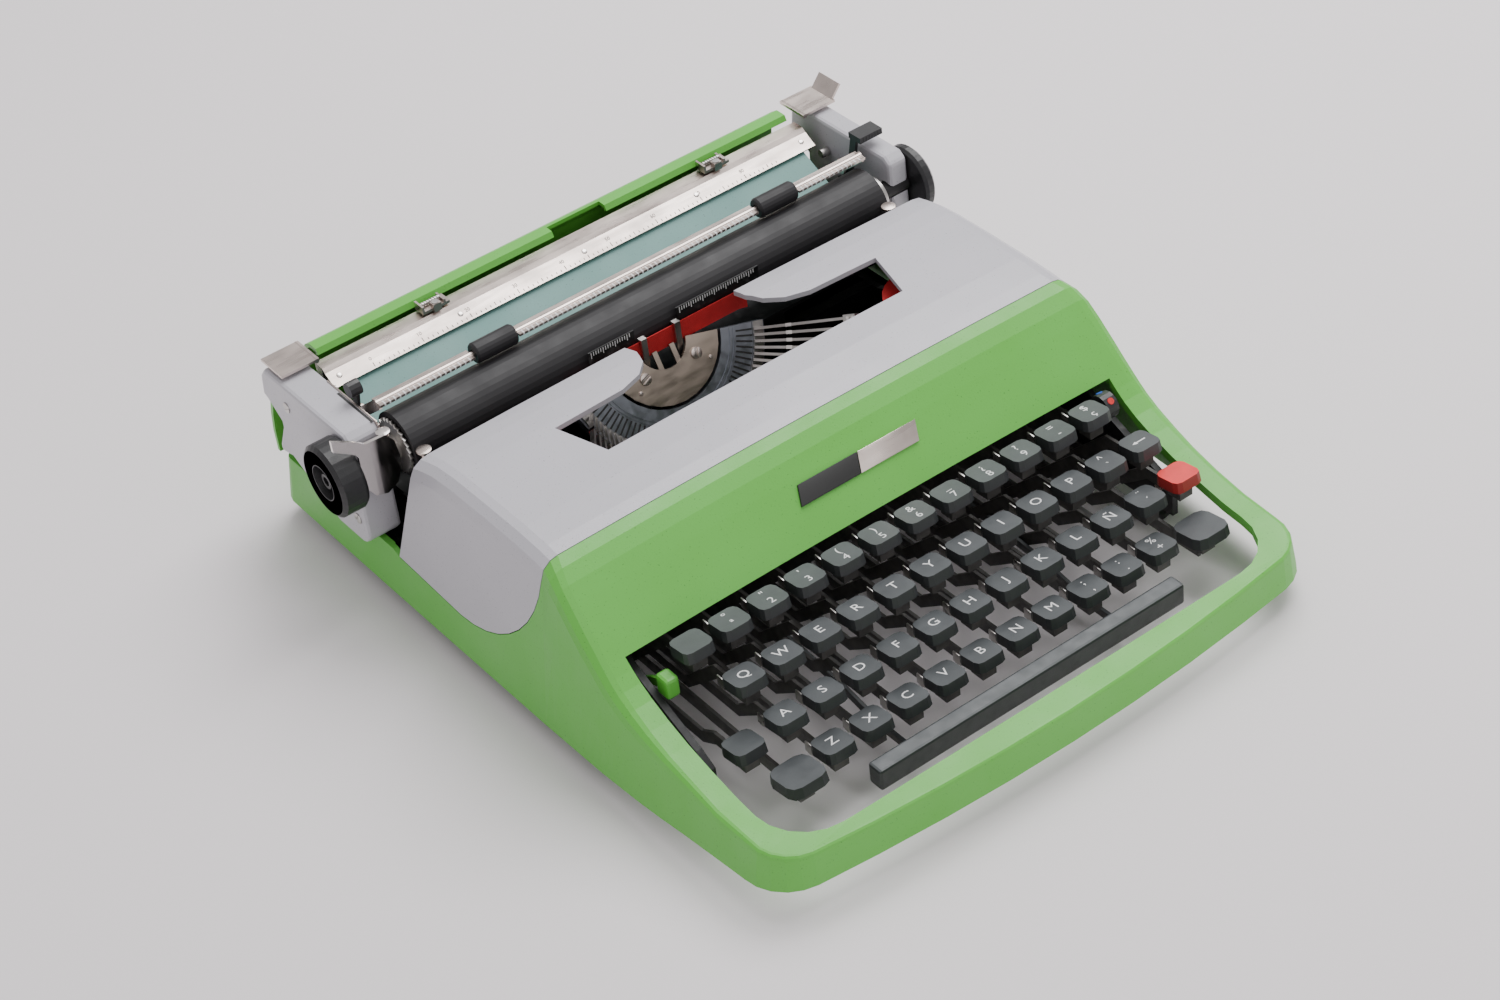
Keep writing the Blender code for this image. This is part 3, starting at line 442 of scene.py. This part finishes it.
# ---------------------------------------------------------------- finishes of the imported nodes

SURFACES = {
    "body_shell": (GREEN, 0.5), "rear_cover": (GREEN, 0.4), "tab_set_lever": (GREEN, 0.4),
    "ribbon_cover": (GREY, 0.5), "left_end_plate": (GREY, 0.6), "right_end_plate": (GREY, 0.6),
    "paper_table": (TEAL, 0.2), "chassis": (BLACK_STEEL, 0.3), "bottom_plate": (BLACK_STEEL, 0.3),
    "carriage_frame": (BLACK_STEEL, 0.3), "card_guide": (BLACK_STEEL, 0.15),
    "paper_release_lever": (BLACK_PLASTIC, 0.5), "line_space_selector": (BLACK_PLASTIC, 0.3),
    "colour_selector": (BLACK_PLASTIC, 0.4), "left_knob": (BLACK_PLASTIC, 0.3),
    "right_knob": (BLACK_PLASTIC, 0.3), "platen": (RUBBER, 0.4),
    "bail_roller_left": (RUBBER, 0.0), "bail_roller_right": (RUBBER, 0.0),
    "foot_front_left": (FOOT_RUBBER, 0.3), "foot_front_right": (FOOT_RUBBER, 0.3),
    "foot_rear_left": (FOOT_RUBBER, 0.3), "foot_rear_right": (FOOT_RUBBER, 0.3),
    "margin_rule": (NICKEL, 0.15), "paper_bail": (NICKEL, 0.15), "margin_stop_left": (NICKEL, 0.15),
    "margin_stop_right": (NICKEL, 0.15), "carriage_release_left": (NICKEL, 0.25),
    "carriage_release_right": (NICKEL, 0.25), "return_lever": (CHROME, 0.4), "type_segment": (CASTING, 0.3),
    "segment_plate": (BRONZE, 0.2), "type_basket": (STEEL, 0.0), "type_bar": (STEEL, 0.0),
    "ribbon_vibrator": (STEEL, 0.12), "ribbon": (RIBBON, 0.0), "ribbon_spool_left": (RIBBON, 0.0),
    "ribbon_spool_right": (RIBBON, 0.0),
}

# Each look of the keys: colour of the caps, the height where caps end and levers start, and its nodes
KEY_LOOKS = {
    "row_1": (KEY_CAP, ROW_1[2] - CAP_SKIRT, ("number_row", "margin_release_key")),
    "row_2": (KEY_CAP, ROW_2[2] - CAP_SKIRT, ("upper_letter_row", "backspace_key")),
    "row_3": (KEY_CAP, ROW_3[2] - CAP_SKIRT, ("key_a", "key_s", "key_d", "key_f", "key_g", "key_h", "key_j",
                                              "key_k", "key_l", "key_ene", "key_accent")),
    "row_4": (KEY_CAP, ROW_4[2] - CAP_SKIRT, ("lower_letter_row",)),
    "shift": (KEY_CAP, SHIFT_TOP - CAP_SKIRT, ("left_shift_key", "right_shift_key")),
    "lock": (KEY_CAP, LOCK_TOP - CAP_SKIRT, ("shift_lock_key",)),
    "space": (KEY_CAP, SPACE_TOP - SPACE_SKIRT, ("space_bar",)),
    "tab": (RED_CAP, TAB_TOP - CAP_SKIRT, ("tab_key",)),
}


def finish_nodes():
    for name, (surface, width) in SURFACES.items():
        dress(name, surface, width)
    for name, (cap, foot, members) in KEY_LOOKS.items():
        surface = key_look("key_" + name, cap, foot)
        for member in members:
            dress(member, surface, CAP_EDGE)


def dress(name, surface, width):
    made = nodes[name]
    for index in range(len(made.material_slots)):
        made.material_slots[index].material = surface
    if surface in (GREEN, GREY):
        soften(made, width, segments=3, angle=46, shading=SMOOTH_SHELL)
    else:
        soften(made, width)


# ---------------------------------------------------------------- keyboard

# One entry a key, left to right: a lone character, or the upper and the lower one
LEGENDS_1 = ("ºª", "\"2", "'3", "(4", ")5", "&6", "_7", "¿8", "?9", "=-", "$ç")
LEGENDS_2 = ("Q", "W", "E", "R", "T", "Y", "U", "I", "O", "P", "^`")
LEGENDS_3 = {"key_a": "A", "key_s": "S", "key_d": "D", "key_f": "F", "key_g": "G", "key_h": "H", "key_j": "J",
             "key_k": "K", "key_l": "L", "key_ene": "Ñ"}
LEGENDS_4 = ("Z", "X", "C", "V", "B", "N", "M", ";,", ":.", "%+")


def key_top(row, index):
    """The plane of a key's top, whose front edge is tipped up."""
    x, y, z = row
    return (Matrix.Translation((x + index * PITCH, y, z - 2.5)) @ Matrix.Rotation(-KEY_TILT, 4, "X")
            @ Matrix.Translation((0, 0, 2.52)))


def add_legend(work, legend, place):
    """One large character, or a small one above another."""
    if len(legend) == 1:
        add_text(work, legend, LARGE_LEGEND, place @ Matrix.Translation((0, 0.2, 0)))
    else:
        add_text(work, legend[0], SMALL_LEGEND, place @ Matrix.Translation((0, 3.1, 0)))
        add_text(work, legend[1], SMALL_LEGEND, place @ Matrix.Translation((0, -3.0, 0)))


def add_lever_ear(work, row, index):
    """The bent ear of a key's lever that shows behind its cap."""
    x, y, z = row
    x += index * PITCH
    add_box(work, (x - 5.6, y + 7.0, z - 9.2), (x - 4.9, y + 11.8, z - 4.2))
    add_box(work, (x - 5.6, y + 8.4, z - 9.6), (x + 0.8, y + 10.6, z - 9.0))


def make_row_legends(body, row, legends, start=0):
    """The legends and lever ears of one bank of keys, from the key numbered start."""
    text = bmesh.new()
    ears = bmesh.new()
    for index, legend in enumerate(legends, start):
        add_legend(text, legend, key_top(row, index))
        add_lever_ear(ears, row, index)
    piece("legends_" + body, text, body, WHITE_PRINT)
    piece("lever_ears_" + body, ears, body, STEEL, 0.1)


def make_keyboard():
    make_row_legends("number_row", ROW_1, LEGENDS_1, start=1)
    make_row_legends("upper_letter_row", ROW_2, LEGENDS_2)
    make_row_legends("lower_letter_row", ROW_4, LEGENDS_4)
    for index, (body, letter) in enumerate(LEGENDS_3.items()):
        text = bmesh.new()
        add_legend(text, letter, key_top(ROW_3, index))
        piece("legend_" + body, text, body, WHITE_PRINT)
        ear = bmesh.new()
        add_lever_ear(ear, ROW_3, index)
        piece("lever_ear_" + body, ear, body, STEEL, 0.1)
    text = bmesh.new()
    add_legend(text, "¨´", key_top(ROW_3, len(LEGENDS_3)))
    piece("legend_key_accent", text, "key_accent", WHITE_PRINT)
    arrow = bmesh.new()
    place = key_top(ROW_2, len(LEGENDS_2))
    flat = place @ Matrix.Scale(0.04, 4, (0, 0, 1))
    add_box(arrow, (-1.6, -0.35, 0), (3.4, 0.35, 0.05), place)
    add_rod(arrow, (-1.4, 0, 0.025), (-3.6, 0, 0.025), 1.3, 3, 0.05, flat)
    piece("legend_backspace_key", arrow, "backspace_key", WHITE_PRINT)
    for name, angle, surface in (("blue_dot", 55, BLUE_PRINT), ("red_dot", 130, RED_PRINT)):
        dot = bmesh.new()
        add_dot(dot, angle)
        piece(name, dot, "colour_selector", surface)


def add_dot(work, angle):
    """A colour mark on the head of the ribbon colour lever, at an angle from the back over the top."""
    turn = math.radians(angle)
    out = Vector((0, math.cos(turn), math.sin(turn)))
    add_rod(work, COLOUR_LEVER_HEAD + out * 5.6, COLOUR_LEVER_HEAD + out * 6.15, 1.5, 16)


# ---------------------------------------------------------------- body details

def make_nameplate():
    """A plain two-tone plate on the slope of the hood, with raked ends and softened edges."""
    place = axes(NAMEPLATE, (1, 0, 0), NAMEPLATE_SLOPE)
    half, rise = NAMEPLATE_HALF
    for name, left, right, surface in (("nameplate_dark", -half, -0.1, BLACK_PRINT_AND_SHADE),
                                       ("nameplate_bright", 0.1, half, NICKEL)):
        work = bmesh.new()
        corners = ((left - NAMEPLATE_RAKE, -rise), (right - NAMEPLATE_RAKE, -rise),
                   (right + NAMEPLATE_RAKE, rise), (left + NAMEPLATE_RAKE, rise))
        add_prism(work, corners, -0.6, 0.75, place)
        piece(name, work, "machine", surface, 0.35)


def ring_place():
    """The plane of the ring of pivots: Y towards its open top, Z towards the keyboard."""
    return axes(STRIKE, (1, 0, 0), -RING_DOWN)


def bar_place(angle):
    """The frame of a type bar at rest, at an angle round the ring from its foot: X runs along the bar."""
    outward = RING_DOWN * math.cos(angle) + Vector((1, 0, 0)) * math.sin(angle)
    lie = -outward * math.cos(BAR_SWING) + RING_FACE * math.sin(BAR_SWING)
    side = outward.cross(RING_FACE).normalized()
    place = Matrix.Identity(4)
    for index, axis in enumerate((lie, side, lie.cross(side).normalized())):
        place.col[index][:3] = axis
    place.col[3][:3] = STRIKE + outward * BAR_LENGTH
    return place


def make_type_basket():
    """Dark strips painted as the shade in the segment's slots, the segment's lands, the type on each bar, and
    the segment's screws.
    """
    ring = ring_place()
    face = ring @ Matrix.Translation((0, 0, SEGMENT_FACE))
    slot_shade = bmesh.new()
    lands = bmesh.new()
    faces = bmesh.new()
    ears = bmesh.new()
    middle = (BAR_COUNT - 1) / 2
    for index in range(BAR_COUNT):
        angle = FAN_HALF * (index - middle) / middle
        turned = ring @ Matrix.Rotation(angle, 4, "Z")
        # Painted shade: a thin black strip on the segment's face stands for each slot's dark opening
        add_box(slot_shade, (-0.42, -45.6, -3.04), (0.42, -37.5, -2.90), turned)
        if index == middle:
            continue
        bar = bar_place(angle)
        for step in (-2.0, 0.6):
            add_rod(faces, (48 + step, 0, -2.3), (48 + step, 0, -3.3), 0.95, 10, 0.8, bar)
        add_box(ears, (14, -0.75, -1.5), (17, 0.75, 1.5), bar)
    add_ring(lands, 34.2, 35.2, 0.35, face, 72)
    add_ring(lands, 36.2, 36.8, 0.25, face, 72)
    clear_top(lands, ring)
    piece("segment_slot_shade", slot_shade, "basket", BLACK_PRINT_AND_SHADE)
    piece("segment_lands", lands, "basket", CASTING)
    piece("type_faces", faces, "basket", CHROME)
    piece("type_bar_ears", ears, "basket", CHROME)
    screws = bmesh.new()
    for x, turn in ((-13.9, 20), (13.7, 70)):
        seat = ring @ Matrix.Translation((x, -11.8, -3.0)) @ Matrix.Rotation(math.radians(turn), 4, "Z")
        add_screw(screws, seat, 2.7, 0.9)
    for x in (-18.5, 19.5):
        add_rod(screws, (x, -16.5, -3.0), (x, -16.5, -2.5), 1.0, 12, place=ring)
    piece("segment_screws", screws, "basket", NICKEL, 0.12)


def clear_top(work, ring):
    """Removes what lies above the open top of the horseshoe."""
    back = ring.inverted()
    gone = [face for face in work.faces if (back @ face.calc_center_median()).y > -9]
    bmesh.ops.delete(work, geom=gone, context="FACES")


def make_cards():
    """Ticks on the two line scales, and the nickel pads at the cover's ends."""
    marks = bmesh.new()
    for low, high in ((-39, -17.4), (8.4, 51)):
        count = int((high - low) / HALF_STEP)
        for index in range(count):
            x = low + index * HALF_STEP
            tall = 1.9 if index % 5 else 3.0
            add_box(marks, (x, 85.84, 83.2 - tall), (x + 0.42, 85.92, 83.2))
    piece("card_marks", marks, "machine", WHITE_PRINT)
    discs = bmesh.new()
    for x in (-126, 126):
        add_rod(discs, (x, 85.4, 78.6), (x, 85.4, 79.6), 3.4, 24)
        add_rod(discs, (x, 85.4, 60), (x, 85.4, 78.8), 1.6, 12)
    piece("paper_finger_pads", discs, "machine", NICKEL, 0.25)


# ---------------------------------------------------------------- carriage details

def make_rule_marks():
    """Ticks, numbers and rivets on the margin rule."""
    slope = axes(RULE_ORIGIN, (1, 0, 0), RULE_SLOPE)
    marks = bmesh.new()
    for index in range(0, 88):
        x = -111 + index * SPACE_STEP
        tall = 2.2 if index % 10 == 0 else (1.7 if index % 5 == 0 else 1.1)
        add_box(marks, (x - 0.16, -3.3, 0), (x + 0.16, -3.3 + tall, 0.08), slope)
        if index % 10 == 0:
            add_text(marks, str(index), 2.6, slope @ Matrix.Translation((x, 0.9, 0.02)))
    piece("rule_marks", marks, "carriage", BLACK_PRINT_AND_SHADE)
    rivets = bmesh.new()
    for x in (-127, -64, 3, 66, 127):
        add_rod(rivets, (x, 0.6, -0.2), (x, 0.6, 0.35), 1.5, 16, 1.1, slope)
    piece("rule_rivets", rivets, "carriage", CHROME, 0.2)


def make_bail_marks():
    """Ticks on the flats of the paper bail, over its top and down its front edge."""
    marks = bmesh.new()
    top = BAIL_Z + 0.7
    front = BAIL_Y - 3.5
    for low, high in ((-130, -84), (-59, 69), (94, 130)):
        count = int((high - low) / SPACE_STEP)
        for index in range(count):
            x = low + 1.2 + index * SPACE_STEP
            tall = 2.0 if index % 5 else 3.4
            add_box(marks, (x - 0.35, front, top), (x + 0.35, front + tall, top + 0.08))
            add_box(marks, (x - 0.35, front - 0.2, BAIL_Z - 0.3), (x + 0.35, front, top + 0.08))
    piece("bail_marks", marks, "bail", WHITE_PRINT)


def make_end_plates():
    """Screws of both end plates, a black strip painted as the shade in the selector's slot, the selector's
    strip, and the links inside the plates.
    """
    screws = bmesh.new()
    for y, z, turn in ((153.2, 79.1, 30), (105.7, 45.6, 50)):
        left = axes((LEFT_END, y, z), (0, -1, 0), (0, 0, 1))
        add_screw(screws, left @ Matrix.Rotation(math.radians(turn), 4, "Z"), 2.6, 0.6)
        add_screw(screws, axes((RIGHT_END, y, z), (0, 1, 0), (0, 0, 1)), 2.6, 0.6)
    piece("end_plate_screws", screws, "carriage", STEEL, 0.1)
    # Painted shade: a thin black strip on the plate stands for the selector slot's dark opening
    slot_shade = bmesh.new()
    add_box(slot_shade, (-138.8, 103, 90.9), (-137.6, 131, 91.06))
    piece("selector_slot_shade", slot_shade, "carriage", BLACK_PRINT_AND_SHADE)
    strips = bmesh.new()
    add_box(strips, (-137.2, 101.6, 88.5), (-136.4, 142, 91.3))
    add_box(strips, (-137.2, 100.2, 70), (-136.4, 101.8, 90.4))
    piece("selector_strip", strips, "carriage", NICKEL, 0.2)
    linkage = bmesh.new()
    add_box(linkage, (-134.6, 112, 52), (-133.6, 150, 60))
    add_rod(linkage, (-135.6, 138, 72), (-132, 138, 72), 3.2, 14)
    add_rod(linkage, (-135.6, 146, 82), (-131.4, 146, 82), 1.6, 10)
    add_rod(linkage, (134.2, 146, 76), (138.4, 146, 76), 2.2, 12)
    add_box(linkage, (134.0, 118, 54), (135.0, 152, 58))
    piece("carriage_linkage", linkage, "carriage", STEEL, 0.2)


def make_ratchet():
    """The toothed wheel at the platen's left end, and plain collars at both ends."""
    work = bmesh.new()
    teeth = 28
    outline = []
    for i in range(teeth):
        start = 2 * math.pi * i / teeth
        outline.append((13.2 * math.cos(start), 13.2 * math.sin(start)))
        outline.append((11.4 * math.cos(start + 0.03), 11.4 * math.sin(start + 0.03)))
    wheel = axes((0, PLATEN_Y, PLATEN_Z), (0, 1, 0), (0, 0, 1))
    add_prism(work, outline, -130.4, -128.9, wheel)
    add_rod(work, (-135.9, PLATEN_Y, PLATEN_Z), (-130.3, PLATEN_Y, PLATEN_Z), 5.6, 24)
    add_rod(work, (128.8, PLATEN_Y, PLATEN_Z), (133.4, PLATEN_Y, PLATEN_Z), 9.5, 28)
    piece("platen_ratchet", work, "roller", STEEL, 0.15)


def make_knob_details():
    """The grey ring on the left knob's face, and the screw in its recess."""
    face = axes((KNOB_FACE_X, PLATEN_Y, PLATEN_Z), (0, -1, 0), (0, 0, 1))
    ring = bmesh.new()
    add_ring(ring, 8.4, 15.0, 0.12, face @ Matrix.Translation((0, 0, -0.12)), 48)
    piece("left_knob_face", ring, "roller", KNOB_FACE)
    screw = bmesh.new()
    add_screw(screw, face @ Matrix.Translation((0, 0, -8.0)) @ Matrix.Rotation(0.6, 4, "Z"), 2.1, 1.4)
    piece("left_knob_screw", screw, "roller", CHROME, 0.1)


def make_stop_details():
    """The coiled spring on its rod and the rivet of each margin stop."""
    for body, x in (("margin_stop_left", -72.5), ("margin_stop_right", 82)):
        work = bmesh.new()
        add_rod(work, (x - 5.9, 159, 91.6), (x + 4.1, 159, 91.6), 0.7, 10)
        for index in range(7):
            start = x - 5 + index * 1.3
            add_ring(work, 0.75, 1.15, 0.35, axes((start, 159, 91.6), (0, 1, 0), (0, 0, 1)), 12)
        add_rod(work, (x, 155.4, 92.4), (x, 155.4, 93.0), 1.7, 14)
        piece(body + "_spring", work, body, STEEL)


def make_lever_details():
    """The return lever's pivot, the grip of the paper release and the bend of the right release lever."""
    work = bmesh.new()
    add_rod(work, (-138, 95.4, 88.6), (-138, 95.4, 90.4), 3.2, 18)
    piece("return_lever_pivot", work, "return_lever", CHROME, 0.3)
    ribs = bmesh.new()
    for index in range(6):
        add_box(ribs, (136 + index * 1.7, 113.35, 96.4), (136.7 + index * 1.7, 113.6, 98.6))
    piece("release_ribs", ribs, "paper_release_lever", BLACK_PLASTIC, 0.1)
    lip = bmesh.new()
    add_rod(lip, (151.3, 155.4, 93.8), (151.3, 171.6, 93.8), 0.45, 8)
    piece("release_bend", lip, "carriage_release_right", NICKEL)


def make_chassis_details():
    """Screws and studs of the chassis, and two ties between the key levers."""
    screws = bmesh.new()
    add_screw(screws, axes((-121.5, -96, 24), (0, 1, 0), (0, 0, 1)), 2.4, 0.8)
    add_screw(screws, axes((121.5, -96, 24), (0, -1, 0), (0, 0, 1)), 2.4, 0.8)
    for x in (-96, 96):
        add_rod(screws, (x, 20, 80.1), (x, 20, 80.6), 5.2, 24)
    piece("chassis_screws", screws, "machine", NICKEL, 0.2)
    ties = bmesh.new()
    for x in (-59.6, 59.5):
        add_box(ties, (x - 0.8, 46, 14.4), (x + 0.8, 66, 15.6))
    piece("chassis_ties", ties, "machine", BLACK_STEEL, 0.2)


# ---------------------------------------------------------------- stage, light and camera

def make_stage():
    work = bmesh.new()
    bmesh.ops.create_grid(work, x_segments=1, y_segments=1, size=6)
    mesh = bpy.data.meshes.new("floor")
    work.to_mesh(mesh)
    work.free()
    floor = bpy.data.objects.new("floor", mesh)
    bpy.context.scene.collection.objects.link(floor)
    paper = Look("floor_paper", 0.85)
    paper.shader.inputs["Base Color"].default_value = (0.86, 0.815, 0.835, 1)
    mesh.materials.append(paper.material)


def area_light(name, place, target, size, power):
    data = bpy.data.lights.new(name, "AREA")
    data.energy = power
    data.size = size
    lamp = bpy.data.objects.new(name, data)
    lamp.location = place
    lamp.rotation_euler = (Vector(target) - Vector(place)).to_track_quat("-Z", "Y").to_euler()
    bpy.context.scene.collection.objects.link(lamp)


def make_light():
    world = bpy.data.worlds.new("studio")
    world.use_nodes = True
    background = world.node_tree.nodes["Background"]
    background.inputs["Color"].default_value = (1, 0.98, 0.985, 1)
    background.inputs["Strength"].default_value = 0.66
    bpy.context.scene.world = world
    area_light("key_light", (0.75, 0.35, 1.5), (0, 0, 0), 1.3, 34)
    area_light("fill_light", (0.1, -1.6, 1.3), (0, 0, 0.05), 1.5, 6)


def make_camera():
    data = bpy.data.cameras.new("camera")
    data.sensor_width = 36
    data.lens = LENS
    camera = bpy.data.objects.new("camera", data)
    bpy.context.scene.collection.objects.link(camera)
    flat = math.cos(CAMERA_ELEVATION)
    back = Vector((math.sin(CAMERA_AZIMUTH) * flat, -math.cos(CAMERA_AZIMUTH) * flat,
                   math.sin(CAMERA_ELEVATION)))
    camera.matrix_world = (Matrix.Translation(CAMERA_PLACE + TO_MIDDLE)
                           @ back.to_track_quat("Z", "Y").to_matrix().to_4x4()
                           @ Matrix.Rotation(CAMERA_ROLL, 4, "Z"))
    data.clip_start = 0.01
    bpy.context.scene.camera = camera


make_stage()
make_light()
make_camera()
finish_nodes()
make_keyboard()
make_nameplate()
make_type_basket()
make_cards()
make_rule_marks()
make_bail_marks()
make_end_plates()
make_ratchet()
make_knob_details()
make_stop_details()
make_lever_details()
make_chassis_details()
